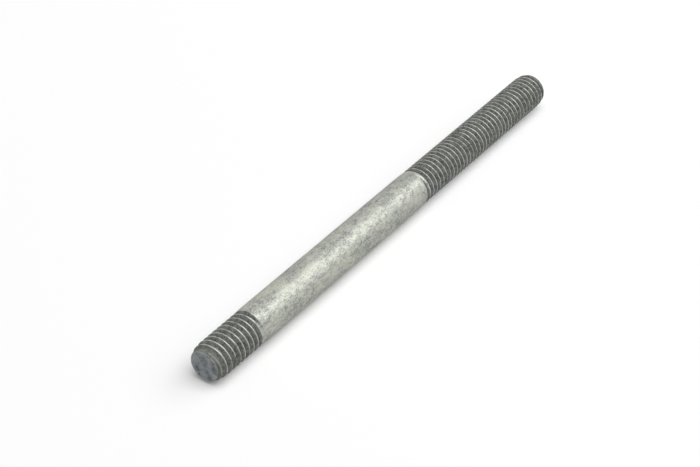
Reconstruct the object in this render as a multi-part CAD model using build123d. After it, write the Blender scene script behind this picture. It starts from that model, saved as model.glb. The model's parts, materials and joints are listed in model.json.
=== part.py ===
from build123d import *
import os

# Double-ended stud bolt, one bar of zinc-coated steel, in millimetres.
#
# The axis of the bar is X, and the origin is on that axis at mid-length. The
# short tap end points to -X and the long nut end to +X. Z is up when the stud
# lies on its side.
# The fine thread is not cut here: both threaded lengths are plain cylinders
# on the major diameter of the thread, with their end chamfers and necks.

# ---- driving dimensions ----------------------------------------------------
stud_length = 142.875        # face to face, 5 5/8 in
tap_thread_length = 15.875   # short end, from its face to its neck, 5/8 in
nut_thread_length = 57.15    # long end, from its face to its neck, 2 1/4 in

thread_major_d = 9.4         # over the crests, 3/8-16 with its zinc coat
shank_d = 9.6                # plain full-bodied middle

neck_d = 9.0                 # where the shank stops and the thread starts
neck_width = 0.35            # flat bottom of each neck
shoulder_length = 2.0        # cone from the shank down to the neck
thread_start_bevel = 0.3     # axial length of the bevel from neck to thread

tap_face_d = 7.8             # flat of the tap end inside its chamfer
tap_chamfer_length = 1.3     # axial length of that chamfer
nut_face_d = 7.6             # flat of the nut end inside its chamfer
nut_chamfer_length = 1.6     # axial length of that chamfer
face_edge_radius = 0.4       # rounding where a face meets its chamfer


# ---- the section -----------------------------------------------------------
def end_outline(face_d, chamfer_length, thread_length):
    """Points (distance from the face, radius) of one end, face to shank."""
    neck_end = thread_length + neck_width
    return [
        (0.0, face_d / 2),
        (chamfer_length, thread_major_d / 2),
        (thread_length - thread_start_bevel, thread_major_d / 2),
        (thread_length, neck_d / 2),
        (neck_end, neck_d / 2),
        (neck_end + shoulder_length, shank_d / 2),
    ]


def half_section():
    """Closed half section of the stud, on the +Y side of its axis."""
    middle = stud_length / 2
    tap_end = end_outline(tap_face_d, tap_chamfer_length, tap_thread_length)
    nut_end = end_outline(nut_face_d, nut_chamfer_length, nut_thread_length)
    tap_points = [(x - middle, r) for x, r in tap_end]
    nut_points = [(middle - x, r) for x, r in reversed(nut_end)]
    outline = [(-middle, 0.0)] + tap_points + nut_points + [(middle, 0.0)]
    return make_face(Polyline(*outline, close=True))


# ---- the solid -------------------------------------------------------------
def face_rims(body):
    """The two circular edges where an end face meets its chamfer."""
    circles = body.edges().filter_by(GeomType.CIRCLE).sort_by(Axis.X)
    return [circles[0], circles[-1]]


def make_stud():
    """The whole stud: one revolved bar with its two face rims rounded."""
    body = revolve(half_section(), axis=Axis.X)
    return fillet(face_rims(body), face_edge_radius)


def check_sizes():
    """Stop where the sizes can't make a stud."""
    ends = tap_thread_length + nut_thread_length + 2 * (neck_width + shoulder_length)
    assert ends < stud_length, "the two threaded ends leave no plain shank"
    assert neck_d < thread_major_d <= shank_d, "diameters are out of order"
    assert max(tap_face_d, nut_face_d) < thread_major_d, "a face is wider than its thread"


os.makedirs("parts", exist_ok=True)
check_sizes()
export_step(make_stud(), "parts/stud.step")
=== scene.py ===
"""A galvanised double-ended stud bolt, lying on its side on a pale floor."""

import json
import logging
import math
from dataclasses import dataclass, field
from enum import Enum
from typing import Iterable, Sequence

import bmesh
import bpy
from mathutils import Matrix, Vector, noise


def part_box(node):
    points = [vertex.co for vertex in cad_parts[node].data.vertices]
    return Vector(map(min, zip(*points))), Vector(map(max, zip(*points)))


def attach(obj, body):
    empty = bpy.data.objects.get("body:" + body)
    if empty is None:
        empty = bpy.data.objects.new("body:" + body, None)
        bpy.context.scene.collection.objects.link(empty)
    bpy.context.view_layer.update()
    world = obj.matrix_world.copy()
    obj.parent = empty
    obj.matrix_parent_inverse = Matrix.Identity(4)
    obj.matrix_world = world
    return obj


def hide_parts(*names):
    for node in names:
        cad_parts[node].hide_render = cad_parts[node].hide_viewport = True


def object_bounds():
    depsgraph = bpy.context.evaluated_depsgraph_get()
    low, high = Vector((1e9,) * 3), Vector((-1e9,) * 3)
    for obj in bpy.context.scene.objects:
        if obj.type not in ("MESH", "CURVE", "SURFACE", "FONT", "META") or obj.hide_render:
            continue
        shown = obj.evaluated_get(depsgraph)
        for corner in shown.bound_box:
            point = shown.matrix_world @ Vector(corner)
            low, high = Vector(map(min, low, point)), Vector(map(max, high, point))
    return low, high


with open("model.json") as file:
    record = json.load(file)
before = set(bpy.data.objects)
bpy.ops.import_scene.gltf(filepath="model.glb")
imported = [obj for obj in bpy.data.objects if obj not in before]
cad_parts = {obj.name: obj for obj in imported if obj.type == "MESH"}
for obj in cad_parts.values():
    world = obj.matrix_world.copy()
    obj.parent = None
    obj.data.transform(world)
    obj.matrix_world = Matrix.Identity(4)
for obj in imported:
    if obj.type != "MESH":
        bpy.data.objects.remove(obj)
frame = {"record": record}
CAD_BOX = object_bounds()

MM = 0.001
BODY = "root"
NODE = "stud"
PIECE = "stud_bar"

log = logging.getLogger("stud")


# ---- shader graphs ---------------------------------------------------------
class Field:
    """A number that varies over a surface, held as the socket it comes from."""

    def __init__(self, graph: "Graph", socket: bpy.types.NodeSocket) -> None:
        """Keep the graph that the socket belongs to, and the socket."""
        self.graph = graph
        self.socket = socket

    def _math(self, operation: str, first: "Field | float", second: "Field | float") -> "Field":
        """Return a Math node's result.

        Args:
            operation: The node's operation.
            first: Its first value or field.
            second: Its second value or field.

        Returns:
            The field that the node gives.
        """
        return self.graph.add("ShaderNodeMath", {"operation": operation}, {0: first, 1: second})

    def __add__(self, other: "Field | float") -> "Field":
        """Add a number or a field."""
        return self._math("ADD", self, other)

    def __radd__(self, other: "Field | float") -> "Field":
        """Add to a number."""
        return self._math("ADD", other, self)

    def __sub__(self, other: "Field | float") -> "Field":
        """Take away a number or a field."""
        return self._math("SUBTRACT", self, other)

    def __rsub__(self, other: "Field | float") -> "Field":
        """Take this field from a number."""
        return self._math("SUBTRACT", other, self)

    def __mul__(self, other: "Field | float") -> "Field":
        """Multiply by a number or a field."""
        return self._math("MULTIPLY", self, other)

    def __rmul__(self, other: "Field | float") -> "Field":
        """Multiply a number."""
        return self._math("MULTIPLY", other, self)

    def above(self, low: float, high: float) -> "Field":
        """Return a mask that rises smoothly from 0 at low to 1 at high."""
        settings = {"interpolation_type": "SMOOTHSTEP"}
        return self.graph.add("ShaderNodeMapRange", settings, {0: self, 1: low, 2: high, 3: 0.0, 4: 1.0})

    def below(self, low: float, high: float) -> "Field":
        """Return a mask that falls smoothly from 1 at low to 0 at high."""
        return 1 - self.above(low, high)


class Graph:
    """The node tree of one material or world."""

    def __init__(self, owner: bpy.types.Material | bpy.types.World) -> None:
        """Empty the owner's node tree and take it over.

        Args:
            owner: The material or world.
        """
        owner.use_nodes = True
        self.tree = owner.node_tree
        self.tree.nodes.clear()

    def make(self, kind: str, settings: dict | None = None, sockets: dict | None = None) -> bpy.types.Node:
        """Add one node.

        Args:
            kind: The node's type.
            settings: Properties to set first.
            sockets: Input name or number to a value, a Field or a node's output.

        Returns:
            The new node.
        """
        node = self.tree.nodes.new(kind)
        for name, value in (settings or {}).items():
            setattr(node, name, value)
        for name, value in (sockets or {}).items():
            source = value.socket if isinstance(value, Field) else value
            if isinstance(source, bpy.types.NodeSocket):
                self.tree.links.new(source, node.inputs[name])
            else:
                node.inputs[name].default_value = source
        return node

    def add(self, kind: str, settings: dict | None = None, sockets: dict | None = None,
            output: str | int = 0) -> Field:
        """Add one node and return one of its outputs as a field.

        Args:
            kind: The node's type.
            settings: Properties to set first.
            sockets: Input name or number to a value, a Field or a node's output.
            output: The output to return.

        Returns:
            The output, ready for arithmetic.
        """
        return Field(self, self.make(kind, settings, sockets).outputs[output])

    def colour_mix(self, factor: Field, low: Field | tuple, high: Field | tuple) -> Field:
        """Mix two colours.

        Args:
            factor: 0 for low, 1 for high.
            low: The first colour or field.
            high: The second colour or field.

        Returns:
            The mixed colour.
        """
        return self.add("ShaderNodeMix", {"data_type": "RGBA"}, {0: factor, 6: low, 7: high}, 2)


def grey(level: float) -> tuple[float, float, float, float]:
    """Return an opaque grey of that linear level."""
    return (level, level, level, 1.0)


def blend(fields: Sequence[Field], shares: Sequence[float]) -> Field:
    """Add up fields in the given shares.

    Args:
        fields: The fields.
        shares: One share for each field.

    Returns:
        The blended field.
    """
    total = shares[0] * fields[0]
    for share, part in zip(shares[1:], fields[1:]):
        total = total + share * part
    return total


# ---- finishes --------------------------------------------------------------
@dataclass(frozen=True)
class Pattern:
    """One size of fractal noise over the metal."""

    repeats: tuple[float, float, float]
    octaves: float
    share: float

    def build(self, graph: Graph, place: bpy.types.NodeSocket) -> Field:
        """Add the noise to a graph.

        Args:
            graph: The graph to add to.
            place: The point on the surface, in metres.

        Returns:
            The noise, about 0.5 on average.
        """
        scaling = {"operation": "MULTIPLY"}
        stretched = graph.make("ShaderNodeVectorMath", scaling, {0: place, 1: self.repeats})
        sockets = {
            "Vector": stretched.outputs[0], "Scale": 1.0, "Detail": self.octaves, "Roughness": self.share}
        return graph.add("ShaderNodeTexNoise", {"noise_dimensions": "3D"}, sockets)


@dataclass(frozen=True)
class ZincFinish:
    """Dull galvanised zinc: pale and mottled on the shank, dark in the threads, bright on the crests, with
    painted shade by the ends.

    A mix holds the shares of the noises in a pattern, and a range holds the two levels between which the
    pattern rises from 0 to 1.
    """

    name: str = "galvanised zinc"
    shank_pale: tuple = (0.520, 0.530, 0.456, 1.0)
    shank_dull: tuple = (0.240, 0.250, 0.244, 1.0)
    speck: tuple = (0.120, 0.122, 0.115, 1.0)
    thread_dark: tuple = (0.108, 0.117, 0.099, 1.0)
    thread_grey: tuple = (0.306, 0.320, 0.300, 1.0)
    crest_bright: tuple = (0.50, 0.505, 0.48, 1.0)
    face_dark: tuple = (0.100, 0.111, 0.116, 1.0)
    face_grey: tuple = (0.385, 0.416, 0.431, 1.0)
    blotches: Pattern = Pattern((170.0, 260.0, 260.0), 2.0, 0.5)
    mottling: Pattern = Pattern((650.0, 950.0, 950.0), 4.0, 0.7)
    graining: Pattern = Pattern((2200.0, 3000.0, 3000.0), 3.0, 0.7)
    face_marks: Pattern = Pattern((450.0, 450.0, 450.0), 4.0, 0.6)
    even_mix: tuple = (0.5, 0.5)
    pale_mix: tuple = (0.20, 0.35, 0.45)
    pale_range: tuple = (0.38, 0.60)
    speck_range: tuple = (0.34, 0.46)
    speck_patches: tuple = (0.42, 0.56)
    speck_strength: float = 0.55
    tone_range: tuple = (0.38, 0.62)
    # Strength of the painted shade that darkens the threads beside the end faces.
    painted_shade: float = 2.0
    rubbed_range: tuple = (0.38, 0.54)
    unrubbed: float = 0.15
    worn_mix: tuple = (0.65, 0.35)
    worn_range: tuple = (0.36, 0.61)
    rough: float = 0.31
    rough_mottle: float = 0.16
    rough_thread: float = 0.12
    crest_polish: float = 0.14
    metallic: float = 0.5
    thread_dulling: float = 0.6
    crest_metal: float = 0.32
    shine: float = 0.3
    edge: float = 0.5
    relief_mix: tuple = (0.5, 0.3, 0.2)
    relief_depth: float = 0.00008

    def build(self) -> bpy.types.Material:
        """Make the material, which reads the masks that the mesh carries.

        Returns:
            The material.
        """
        material = bpy.data.materials.new(self.name)
        graph = Graph(material)
        place = graph.make("ShaderNodeTexCoord").outputs["Object"]
        rolled, crest, end = (self._mask(graph, mask) for mask in Mask)
        blotch = self.blotches.build(graph, place)
        mottle = self.mottling.build(graph, place)
        grain = self.graining.build(graph, place)

        shank = self._shank(graph, blotch, mottle, grain)
        thread = self._thread(graph, rolled, crest, blotch, mottle, grain)
        face = self._face(graph, self.face_marks.build(graph, place), grain)
        colour = graph.colour_mix(end, graph.colour_mix(rolled, shank, thread), face)
        rough = self.rough + self.rough_mottle * mottle
        rough = rough + self.rough_thread * rolled - self.crest_polish * crest
        metallic = self.metallic * (1 - self.thread_dulling * rolled) + self.crest_metal * crest
        relief = blend((mottle, grain, blotch), self.relief_mix)
        tilt = graph.add("ShaderNodeBump", None, {
            "Strength": 1.0, "Distance": self.relief_depth, "Height": relief})
        shader = graph.make("ShaderNodeBsdfPrincipled", None, {
            "Base Color": colour, "Roughness": rough, "Metallic": metallic, "Normal": tilt,
            "Specular IOR Level": self.shine, "Specular Tint": grey(self.edge)})
        graph.make("ShaderNodeOutputMaterial", None, {"Surface": shader.outputs[0]})
        return material

    def _shank(self, graph: Graph, blotch: Field, mottle: Field, grain: Field) -> Field:
        """Return the plain shank's colour: pale zinc, cloudy, with fine dark specks.

        Args:
            graph: The graph to add to.
            blotch: Coarse noise.
            mottle: Middle noise.
            grain: Fine noise.

        Returns:
            The colour.
        """
        pale = blend((blotch, mottle, grain), self.pale_mix).above(*self.pale_range)
        zinc = graph.colour_mix(pale, self.shank_dull, self.shank_pale)
        patches = blend((mottle, blotch), self.even_mix).below(*self.speck_patches)
        specks = grain.below(*self.speck_range) * patches
        return graph.colour_mix(self.speck_strength * specks, zinc, self.speck)

    def _thread(self, graph: Graph, rolled: Field, crest: Field, blotch: Field, mottle: Field,
                grain: Field) -> Field:
        """Return the threads' colour: dark flanks with painted shade beside the end faces, and crests worn
        bright in places.

        Args:
            graph: The graph to add to.
            rolled: 1 on the threads, and more beside the faces, where painted shade darkens them.
            crest: 1 on the thread's crest.
            blotch: Coarse noise.
            mottle: Middle noise.
            grain: Fine noise.

        Returns:
            The colour.
        """
        # Painted shade: beside the end faces the mask passes 1, and the threads' tone is darkened there.
        painted_shade_scale = 1 + self.painted_shade - self.painted_shade * rolled
        tone = blend((mottle, grain), self.even_mix).above(*self.tone_range) * painted_shade_scale
        flank = graph.colour_mix(tone, self.thread_dark, self.thread_grey)
        bright_mark = blend((mottle, blotch), self.even_mix).above(*self.rubbed_range)
        bright = crest * (self.unrubbed + (1 - self.unrubbed) * bright_mark)
        return graph.colour_mix(bright, flank, self.crest_bright)

    def _face(self, graph: Graph, marks: Field, grain: Field) -> Field:
        """Return the end faces' colour: blue-grey, with darker marks.

        Args:
            graph: The graph to add to.
            marks: Noise of the marks' size.
            grain: Fine noise.

        Returns:
            The colour.
        """
        worn = blend((marks, grain), self.worn_mix).above(*self.worn_range)
        return graph.colour_mix(worn, self.face_dark, self.face_grey)

    @staticmethod
    def _mask(graph: Graph, mask: "Mask") -> Field:
        """Return one of the masks that the mesh carries."""
        return graph.add("ShaderNodeAttribute", {"attribute_name": mask.value}, None, "Fac")


@dataclass(frozen=True)
class FloorFinish:
    """A plain white floor that keeps the object's shadow."""

    name: str = "white floor"
    colour: tuple = (0.61, 0.61, 0.61, 1.0)
    seen_colour: tuple = (0.86, 0.86, 0.86, 1.0)
    lift: float = 0.13

    def build(self) -> bpy.types.Material:
        """Make the material: plain diffuse, lifted to white where it is seen or reflected.

        Returns:
            The material.
        """
        material = bpy.data.materials.new(self.name)
        graph = Graph(material)
        plain = graph.make("ShaderNodeBsdfDiffuse", None, {"Color": self.colour})
        shaded = graph.make("ShaderNodeBsdfDiffuse", None, {"Color": self.seen_colour})
        glow = graph.make("ShaderNodeEmission", None, {"Color": grey(1.0), "Strength": self.lift})
        lifted = graph.make("ShaderNodeAddShader", None, {0: shaded.outputs[0], 1: glow.outputs[0]})
        both = graph.make("ShaderNodeMixShader", None, {
            0: seen_directly(graph), 1: plain.outputs[0], 2: lifted.outputs[0]})
        graph.make("ShaderNodeOutputMaterial", None, {"Surface": both.outputs[0]})
        return material


def seen_directly(graph: Graph) -> Field:
    """Tell rays from the camera, a reflection or clear glass from the rest.

    Args:
        graph: The graph to add to.

    Returns:
        1 for those rays, and 0 for the rest.
    """
    path = graph.make("ShaderNodeLightPath")
    names = ("Is Camera Ray", "Is Glossy Ray", "Is Transmission Ray")
    camera, glossy, clear = (Field(graph, path.outputs[name]) for name in names)
    return (camera + glossy + clear).above(0.0, 1.0)


# ---- the stud --------------------------------------------------------------
class Mask(Enum):
    """Masks stored on the mesh that say which finish lies where, 0 to 1, or up to 1.3 for the thread mask,
    whose part above 1 is painted shade beside the faces; the crest mask also paints a highlight on the end
    rims.
    """

    THREAD_AND_SHADE = "rolled"
    CREST = "crest"
    END = "end"


class Hand(Enum):
    """Which way a thread turns: +1 advances along +X as it turns by the right-hand rule."""

    RIGHT = 1
    LEFT = -1


@dataclass
class Bar:
    """Sizes of the whole stud in millimetres, along X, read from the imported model."""

    low: float = 0.0
    high: float = 0.0
    shank_r: float = 0.0
    thread_r: float = 0.0
    tap_neck: float = 0.0
    nut_neck: float = 0.0
    shank_low: float = 0.0
    shank_high: float = 0.0
    bevel: float = 0.3

    def read(self) -> "Bar":
        """Fill the sizes from the CAD node's box and the record's mounts.

        Returns:
            The same bar.
        """
        low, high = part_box(NODE)
        mounts = {mount["name"]: mount for mount in frame["record"]["mounts"]}
        self.low, self.high = low.x / MM, high.x / MM
        self.shank_r = (high.z - low.z) / 2 / MM
        self.thread_r = mounts["nut_end"]["dims"]["r_mm"]
        self.shank_low, self.shank_high = self._span(mounts["shank"])
        self.tap_neck = self._span(mounts["tap_end"])[1] + self.bevel
        self.nut_neck = self._span(mounts["nut_end"])[0] - self.bevel
        return self

    @staticmethod
    def _span(mount: dict) -> tuple[float, float]:
        """Find where a round mount's wall starts and ends along X.

        Args:
            mount: The mount, as the record gives it.

        Returns:
            The two places, in millimetres.
        """
        middle = mount["pos_m"][0] / MM
        half = mount["dims"]["length_mm"] / 2
        return middle - half, middle + half


@dataclass
class ThreadForm:
    """The thread's own form, made by rolling, in millimetres.

    Half the form is (place in pitches, share of the depth) from a crest to a root.
    """

    pitch: float = 1.5875
    depth: float = 0.95
    hand: Hand = Hand.RIGHT
    half_form: tuple = (
        (0.0, 0.0), (0.045, 0.006), (0.075, 0.045), (0.105, 0.125), (0.24, 0.5),
        (0.375, 0.87), (0.42, 0.965), (0.46, 0.993), (0.5, 1.0))

    def rows(self) -> list[tuple[float, float]]:
        """Return (place, share of the depth) round one whole pitch, from crest to crest."""
        back = [(1 - place, share) for place, share in reversed(self.half_form[1:-1])]
        return list(self.half_form) + back


@dataclass
class Outline:
    """A run of (distance, radius) points joined by straight lines."""

    points: Sequence[tuple[float, float]]

    def at(self, distance: float) -> float:
        """Find the radius at a distance, level beyond both ends.

        Args:
            distance: How far along.

        Returns:
            The radius there.
        """
        points = self.points
        if distance <= points[0][0]:
            return points[0][1]
        for (d0, r0), (d1, r1) in zip(points, points[1:]):
            if distance <= d1:
                return r0 + (r1 - r0) * (distance - d0) / (d1 - d0)
        return points[-1][1]


def clamp(value: float) -> float:
    """Return the value, kept from 0 to 1."""
    return max(0.0, min(1.0, value))


@dataclass
class ThreadZone:
    """One helical stretch of the surface, between two plain rings. Sizes are in millimetres."""

    start: float
    end: float
    crest: float
    form: ThreadForm
    lead: Outline
    runout: Outline
    face_at: float
    neck_at: float
    thread_r: float
    land: float = 0.08
    land_spread: float = 1.5
    groove_narrowing: float = 6.0
    dark_gain: float = 1.5
    bright_gain: float = 2.0
    worn_from: float = 0.1
    worn_over: float = 1.9
    # Painted shade beside the end face: its level, its reach and the length it fades over, in millimetres.
    painted_shade_level: float = 0.3
    painted_shade_reach: float = 2.6
    painted_shade_over: float = 1.6

    def top(self, x: float) -> float:
        """Return the radius over the crests, under the end's taper."""
        return min(self.lead.at(abs(x - self.face_at)), self.thread_r)

    def fade(self, x: float, place: float) -> float:
        """Return how fully the groove is cut: 1 in the full thread, 0 past its run-out.

        Args:
            x: Place along the bar.
            place: Place across the thread's form, 0 at one crest and 1 at the next.

        Returns:
            The share, the same all the way across one groove.
        """
        middle = x + (0.5 - place) * self.form.pitch
        inward = 1 if self.face_at > self.neck_at else -1
        return self.runout.at((middle - self.neck_at) * inward)

    def point(self, x: float, place: float, share: float) -> tuple[float, float, float]:
        """Return the surface at one point of the thread's form.

        Args:
            x: Place along the bar.
            place: Place across the thread's form.
            share: Share of the thread's depth there.

        Returns:
            The radius, the mask of the dark threads with the painted shade beside the face, and the mask
            of the crests.
        """
        fade = self.fade(x, place)
        top = self.top(x)
        root = self.thread_r - self.form.depth
        groove = top - (top - root) * fade * share ** (1 + self.groove_narrowing * (1 - fade))
        land = self.land * (1 + self.land_spread * (1 - fade))
        crest = clamp(1 + (groove - top) / land) * min(1.0, self.bright_gain * fade)
        worn = clamp((abs(x - self.face_at) - self.worn_from) / self.worn_over)
        return groove, min(1.0, self.dark_gain * fade) + self.painted_shade(x), crest * worn

    def ring(self, x: float) -> tuple[float, float, float]:
        """Return the radius and the two masks of the plain ring at x, dark and with painted shade beside
        the face only.
        """
        at_face = abs(x - self.face_at) < abs(x - self.neck_at)
        return self.top(x), at_face + self.painted_shade(x), 0.0

    def painted_shade(self, x: float) -> float:
        """Return the painted shade that darkens the thread beside the face, down to 0 after two turns."""
        return self.painted_shade_level * clamp((self.painted_shade_reach - abs(x - self.face_at)) / self.painted_shade_over)


@dataclass
class Stud:
    """The whole bar: two threads made by rolling, their tapered ends, the shoulders and the shank.

    Sizes are in millimetres. A rim is rings of (depth under the face, radius, share of the end's finish,
    painted highlight on the rim's edge), and a shoulder is rings of (distance from the thread, depth under
    the shank).
    """

    bar: Bar
    form: ThreadForm = field(default_factory=ThreadForm)
    finish: ZincFinish = field(default_factory=ZincFinish)
    columns: int = 112
    shank_rings: int = 24
    crest_side: float = 128.0
    sharp_angle: float = 50.0
    touching: float = 1e-4
    ripple_scale: float = 0.55
    ripple: float = 0.012
    burr_scale: float = 1.7
    burr: float = 0.05
    # Painted shade on the end rims: their thread mask goes beyond 1, so they are darker than the thread.
    painted_face_shade: float = 1.3
    rim_length: float = 0.40
    tap_crest: float = 3.94
    nut_crest: float = 0.51
    tap_fade: float = 0.21
    tap_past: float = 0.80
    nut_fade: float = 2.00
    nut_past: float = 2.65
    tap_rim: tuple = (
        (0.03, 0.4, 1.0, 0.0), (0.0, 1.6, 1.0, 0.0), (0.01, 2.6, 1.0, 0.0), (0.035, 3.3, 1.0, 0.0),
        (0.07, 3.58, 1.0, 0.0), (0.11, 3.69, 0.8, 0.3), (0.17, 3.77, 0.2, 0.8), (0.24, 3.82, 0.0, 0.3),
        (0.32, 3.87, 0.0, 0.0))
    nut_rim: tuple = (
        (0.03, 0.4, 1.0, 0.0), (0.0, 1.6, 1.0, 0.0), (0.01, 2.8, 1.0, 0.0), (0.05, 3.4, 1.0, 0.0),
        (0.12, 3.65, 0.7, 0.2), (0.22, 3.84, 0.2, 0.2))
    tap_shoulder: tuple = ((0.25, 0.07), (0.7, 0.03))
    nut_shoulder: tuple = ((1.5, 0.0), (1.0, 0.05), (0.45, 0.07), (0.15, 0.025))
    tap_lead: Outline = field(default_factory=lambda: Outline(
        ((0.40, 3.95), (0.9, 4.22), (1.7, 4.47), (2.7, 4.63), (4.0, 4.70))))
    nut_lead: Outline = field(default_factory=lambda: Outline(
        ((0.40, 4.08), (0.9, 4.36), (1.9, 4.58), (3.0, 4.67), (4.5, 4.70))))
    runout: Outline = field(default_factory=lambda: Outline(((0.0, 0.0), (0.40, 1.0))))
    body: bmesh.types.BMesh = field(init=False, repr=False)
    layers: dict = field(init=False, repr=False)

    def build(self) -> bpy.types.Object:
        """Make, dress and place the piece.

        Returns:
            The piece.
        """
        mesh = self.mesh()
        piece = bpy.data.objects.new(PIECE, mesh)
        bpy.context.scene.collection.objects.link(piece)
        mesh.materials.append(self.finish.build())
        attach(piece, BODY)
        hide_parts(NODE)
        return piece

    def mesh(self) -> bpy.types.Mesh:
        """Build the closed surface of the bar.

        Returns:
            The mesh, in metres.
        """
        self.body = bmesh.new()
        self.layers = {mask: self.body.verts.layers.float.new(mask.value) for mask in Mask}
        tap, nut = self._tap_face() + self._tap_thread(), self._nut_thread() + self._nut_face()
        self._skin(tap + self._middle() + nut)
        bmesh.ops.recalc_face_normals(self.body, faces=self.body.faces)
        mesh = bpy.data.meshes.new(PIECE)
        self.body.to_mesh(mesh)
        self.body.free()
        for polygon in mesh.polygons:
            polygon.use_smooth = True
        mesh.set_sharp_from_angle(angle=math.radians(self.sharp_angle))
        return mesh

    def _vertex(self, x: float, radius: float, angle: float, rolled: float = 0.0, crest: float = 0.0,
                end: float = 0.0) -> bmesh.types.BMVert:
        """Add one point, with the zinc's slight unevenness.

        Args:
            x: Place along the bar.
            radius: Distance from the axis.
            angle: Angle about the axis.
            rolled: Mask of the dark threads, with painted shade above 1 beside the faces.
            crest: Mask of the thread's crest, and of the painted highlight on the end rims.
            end: Mask of the end faces.

        Returns:
            The new point.
        """
        y, z = math.cos(angle), math.sin(angle)
        spot = Vector((x, y * radius, z * radius))
        ripple = noise.noise(spot * self.ripple_scale) * self.ripple
        burr = noise.noise(spot * self.burr_scale) * self.burr * rolled
        r = radius + min(ripple + burr, 0.0)
        vertex = self.body.verts.new((x * MM, y * r * MM, z * r * MM))
        for mask, value in zip(Mask, (rolled, crest, end)):
            vertex[self.layers[mask]] = value
        return vertex

    def _angle(self, column: int) -> float:
        """Return a column's angle about the axis."""
        return 2 * math.pi * column / self.columns

    def _ring(self, x: float, radius: float, rolled: float = 0.0, crest: float = 0.0,
              end: float = 0.0) -> tuple[list, int]:
        """Return one plain ring of points and its seam step, which is 0."""
        angles = [self._angle(column) for column in range(self.columns)]
        return [self._vertex(x, radius, angle, rolled, crest, end) for angle in angles], 0

    def _zone(self, zone: ThreadZone) -> list[tuple[list, int]]:
        """Lay helical rows between two plain rings.

        Args:
            zone: The stretch and its thread.

        Returns:
            Rows of points, each with the seam step that joins a row's last point to the row one pitch on.
        """
        form = zone.form
        steps = form.rows()
        first_turn = math.floor((zone.start - zone.crest) / form.pitch) - 1
        last_turn = math.ceil((zone.end - zone.crest) / form.pitch)
        start_ring, _ = self._ring(zone.start, *zone.ring(zone.start))
        end_ring, _ = self._ring(zone.end, *zone.ring(zone.end))
        rows = []
        for turn in range(first_turn, last_turn + 1):
            for place, share in steps:
                row = []
                for column in range(self.columns):
                    wound = form.hand.value * column / self.columns
                    x = zone.crest + (turn + place + wound) * form.pitch
                    if x <= zone.start + self.touching:
                        row.append(start_ring[column])
                    elif x >= zone.end - self.touching:
                        row.append(end_ring[column])
                    else:
                        radius, rolled, crest = zone.point(x, place, share)
                        row.append(self._vertex(x, radius, self._angle(column), rolled, crest))
                rows.append((row, len(steps)))
        return [(start_ring, 0)] + rows + [(end_ring, 0)]

    def _tap_thread(self) -> list[tuple[list, int]]:
        """Lay the short thread, from its rim to its neck.

        Returns:
            Its rows of points.
        """
        bar = self.bar
        zone = ThreadZone(
            start=bar.low + self.rim_length, end=bar.tap_neck + self.tap_past,
            crest=bar.low + self.tap_crest - self._turned(), form=self.form, lead=self.tap_lead,
            runout=self.runout, face_at=bar.low, neck_at=bar.tap_neck + self.tap_fade,
            thread_r=bar.thread_r)
        return self._zone(zone)

    def _nut_thread(self) -> list[tuple[list, int]]:
        """Lay the long thread, from its neck to its rim.

        Returns:
            Its rows of points.
        """
        bar = self.bar
        zone = ThreadZone(
            start=bar.nut_neck - self.nut_past, end=bar.high - self.rim_length,
            crest=bar.nut_neck + self.nut_crest - self._turned(), form=self.form, lead=self.nut_lead,
            runout=self.runout, face_at=bar.high, neck_at=bar.nut_neck - self.nut_fade,
            thread_r=bar.thread_r)
        return self._zone(zone)

    def _turned(self) -> float:
        """Return how far a crest advances from angle 0 to the side where its place is given."""
        return self.form.hand.value * self.form.pitch * self.crest_side / 360.0

    def _tap_face(self) -> list[tuple[list, int]]:
        """Lay the flat end and rounded rim of the tap end, from its middle outwards."""
        return [self._rim(self.bar.low, 1, ring) for ring in self.tap_rim]

    def _nut_face(self) -> list[tuple[list, int]]:
        """Lay the flat end and rounded rim of the nut end, from its rim inwards."""
        return [self._rim(self.bar.high, -1, ring) for ring in reversed(self.nut_rim)]

    def _rim(self, face_at: float, inward: int, ring: tuple) -> tuple[list, int]:
        """Return one ring of an end face.

        Args:
            face_at: Where the face is along the bar.
            inward: The way into the bar along X.
            ring: Depth under the face, radius, and masks of the end's finish and of the painted highlight
                on the rim's edge.

        Returns:
            The ring and its seam step.
        """
        # The last value is a painted highlight on the rim's edge, laid in the crest mask; the rim rings
        # also carry painted shade.
        depth, radius, flat, bright_mark = ring
        x = face_at + inward * depth
        return self._ring(x, radius, self.painted_face_shade, bright_mark, flat)

    def _middle(self) -> list[tuple[list, int]]:
        """Lay the shoulders and the plain shank.

        Returns:
            Their rows of points.
        """
        bar = self.bar
        near, far = bar.tap_neck + self.tap_past, bar.nut_neck - self.nut_past
        gap = (bar.shank_high - bar.shank_low) / self.shank_rings
        rings = [(near + distance, bar.shank_r - depth) for distance, depth in self.tap_shoulder]
        rings += [(bar.shank_low + gap * step, bar.shank_r) for step in range(self.shank_rings)]
        rings += [(far - distance, bar.shank_r - depth) for distance, depth in self.nut_shoulder]
        return [self._ring(x, radius) for x, radius in rings]

    def _skin(self, rows: list[tuple[list, int]]) -> None:
        """Join each row to the next with faces, and close both ends.

        Args:
            rows: Rows of points in order, each with its seam step.
        """
        last = len(rows) - 1
        for index in range(last):
            (low, low_step), (high, high_step) = rows[index], rows[index + 1]
            for column in range(self.columns):
                following = (column + 1) % self.columns
                low_next = self._across(rows, index, low_step, following)
                high_next = self._across(rows, index + 1, high_step, following)
                self._face((low[column], low_next, high_next, high[column]))
        self.body.faces.new(reversed(rows[0][0]))
        self.body.faces.new(rows[last][0])

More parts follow.
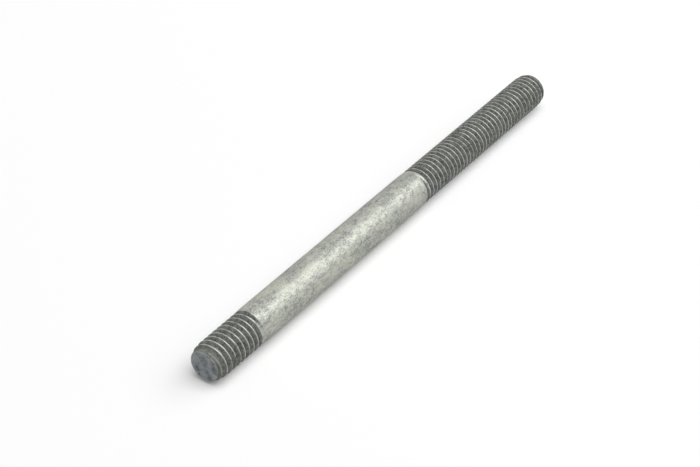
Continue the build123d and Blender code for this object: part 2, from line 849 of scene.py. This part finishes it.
    def _across(self, rows: list[tuple[list, int]], index: int, step: int,
                following: int) -> bmesh.types.BMVert:
        """Return the point in the next column, a pitch of rows further on where the seam is crossed.

        Args:
            rows: All the rows.
            index: The row's number.
            step: The row's seam step.
            following: The next column, 0 across the seam.

        Returns:
            The point.
        """
        if following != 0 or step == 0:
            return rows[index][0][following]
        shifted = index + step * self.form.hand.value
        while rows[min(shifted, len(rows) - 1)][1] == 0 or shifted >= len(rows):
            shifted -= 1
        return rows[shifted][0][0]

    def _face(self, corners: Iterable[bmesh.types.BMVert]) -> None:
        """Add a face through the corners that differ, if three or more do.

        Args:
            corners: The face's corners in order, some of them perhaps the same.
        """
        kept = []
        for corner in corners:
            if corner not in kept:
                kept.append(corner)
        if len(kept) > 2 and self.body.faces.get(kept) is None:
            self.body.faces.new(kept)


# ---- studio ----------------------------------------------------------------
@dataclass
class Studio:
    """Floor, lamps, world and camera round the stud, in metres and degrees."""

    floor_z: float
    floor_size: float = 1.8
    heading: float = 34.75
    down: float = 35.90
    distance: float = 0.4353
    aim: tuple = (-0.01224, 0.00205, 0.00007)
    lens: float = 92.6
    sensor: float = 36.0
    nearest: float = 0.01
    ambient: float = 0.20
    overhead_from: tuple = (-0.02, -0.25, 0.90)
    overhead_spread: float = 60.0
    overhead: float = 2.14
    back_from: tuple = (0.73, -0.54, 0.79)
    back_size: tuple = (1.22, 0.6)
    back: float = 4.15

    def build(self) -> None:
        """Set up everything that isn't the object."""
        self._floor()
        self._world()
        self._sky_panel("overhead light", self.overhead_from, self.overhead_spread, self.overhead)
        self._softbox("back softbox", self.back_from, self.back_size, self.back)
        self._camera()

    def _floor(self) -> None:
        """Lay a big white square just under the shank."""
        half = self.floor_size / 2
        mesh = bpy.data.meshes.new("floor")
        corners = [(-half, -half, 0), (half, -half, 0), (half, half, 0), (-half, half, 0)]
        mesh.from_pydata(corners, [], [(0, 1, 2, 3)])
        floor = bpy.data.objects.new("floor", mesh)
        floor.location = (0, 0, self.floor_z)
        mesh.materials.append(FloorFinish().build())
        bpy.context.scene.collection.objects.link(floor)

    def _world(self) -> None:
        """Light evenly from all round, and show white behind everything."""
        world = bpy.data.worlds.new("studio")
        bpy.context.scene.world = world
        graph = Graph(world)
        light = graph.make("ShaderNodeBackground", None, {"Color": grey(1.0), "Strength": self.ambient})
        white = graph.make("ShaderNodeBackground", None, {"Color": grey(1.0), "Strength": 1.0})
        both = graph.make("ShaderNodeMixShader", None, {
            0: seen_directly(graph), 1: light.outputs[0], 2: white.outputs[0]})
        graph.make("ShaderNodeOutputWorld", None, {"Surface": both.outputs[0]})

    def _sky_panel(self, name: str, place: tuple, spread: float, power: float) -> None:
        """Light everything alike from a broad panel a long way off.

        Args:
            name: The lamp's name.
            place: The way to the panel.
            spread: How wide it looks, in degrees.
            power: Its power in watts a square metre.
        """
        data = bpy.data.lights.new(name, "SUN")
        data.angle = math.radians(spread)
        self._hang(data, place, power)

    def _softbox(self, name: str, place: tuple, size: tuple, power: float) -> None:
        """Hang one soft rectangular lamp that points at the stud.

        Args:
            name: The lamp's name.
            place: Where it hangs, in metres.
            size: Its width and height in metres.
            power: Its power in watts.
        """
        data = bpy.data.lights.new(name, "AREA")
        data.shape = "RECTANGLE"
        data.size, data.size_y = size
        self._hang(data, place, power)

    @staticmethod
    def _hang(data: bpy.types.Light, place: tuple, power: float) -> None:
        """Put a lamp in its place, pointing at the stud.

        Args:
            data: The lamp's data.
            place: Where it goes, in metres.
            power: Its power.
        """
        data.energy = power
        lamp = bpy.data.objects.new(data.name, data)
        lamp.location = place
        lamp.rotation_euler = (-Vector(place)).to_track_quat("-Z", "Y").to_euler()
        bpy.context.scene.collection.objects.link(lamp)

    def _camera(self) -> None:
        """Look down on the stud from beyond its tap end."""
        turn, tilt = math.radians(self.heading), math.radians(self.down)
        level = math.cos(tilt)
        ahead = Vector((math.cos(turn) * level, math.sin(turn) * level, -math.sin(tilt)))
        data = bpy.data.cameras.new("camera")
        data.lens = self.lens
        data.sensor_width = self.sensor
        data.clip_start = self.nearest
        camera = bpy.data.objects.new("camera", data)
        camera.location = Vector(self.aim) - ahead * self.distance
        camera.rotation_euler = ahead.to_track_quat("-Z", "Y").to_euler()
        bpy.context.scene.collection.objects.link(camera)
        bpy.context.scene.camera = camera


def main() -> None:
    """Build the stud and its studio."""
    logging.basicConfig(level=logging.INFO, format="%(name)s: %(message)s")
    bpy.context.scene.view_settings.view_transform = "Standard"
    bar = Bar().read()
    piece = Stud(bar).build()
    log.info("%s has %d faces", piece.name, len(piece.data.polygons))
    Studio(floor_z=CAD_BOX[0][2]).build()


if __name__ == "__main__":
    main()
